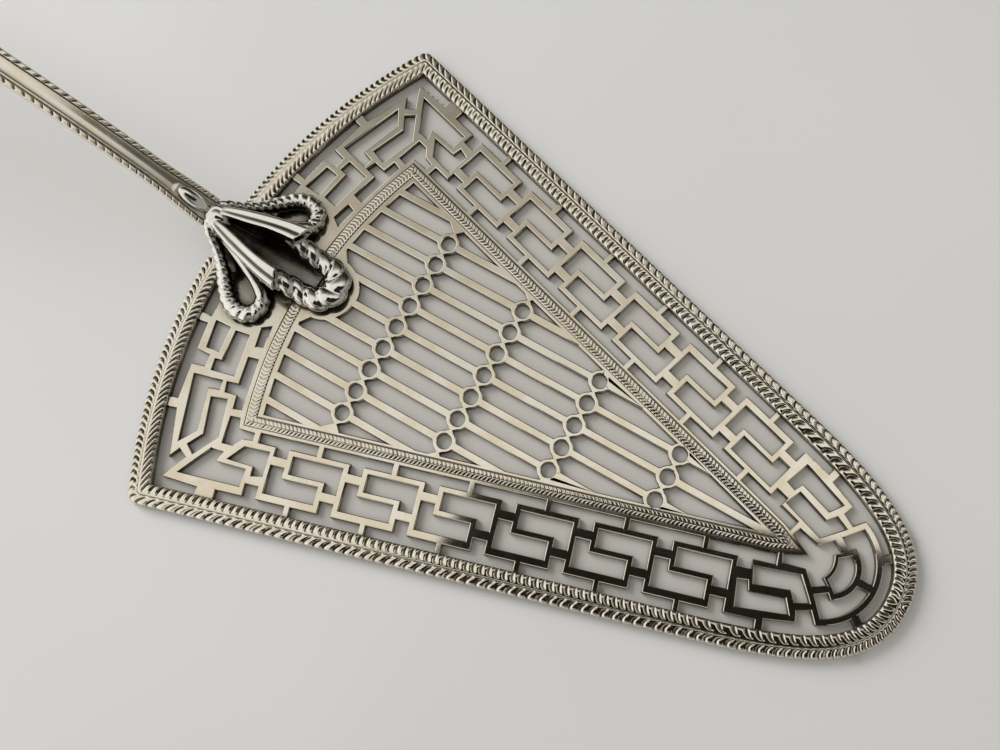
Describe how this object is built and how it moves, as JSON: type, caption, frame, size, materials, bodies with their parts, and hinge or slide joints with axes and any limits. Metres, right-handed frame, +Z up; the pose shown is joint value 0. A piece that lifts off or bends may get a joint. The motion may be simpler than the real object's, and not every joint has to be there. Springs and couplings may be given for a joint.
{
  "type": "fish slice",
  "caption": "Pierced triangular serving blade with a feathered border and fret, a gadrooned loop mount and a raised feather-edged handle.",
  "frame": {"origin": "underside of the blade, at the middle of its bowed back edge, which is also the middle of the whole length", "axes": "+X along the centre line to the blade's tip, the handle along -X, +Z up from the table, +Y to the left seen from the handle"},
  "size_m": [0.2993, 0.1094, 0.0526],
  "materials": {
    "pierced_silver": "hand-worn silver sheet, soft sheen",
    "feathered_silver": "cut silver, dark tarnish in the cuts",
    "cast_silver": "polished cast silver, dark in the hollows",
    "stem_silver": "polished silver, dark in the edge cuts"
  },
  "bodies": {
    "root": {"blade": "pierced_silver", "border": "feathered_silver", "scroll_mount": "cast_silver", "handle": "stem_silver"}
  },
  "joints": []
}
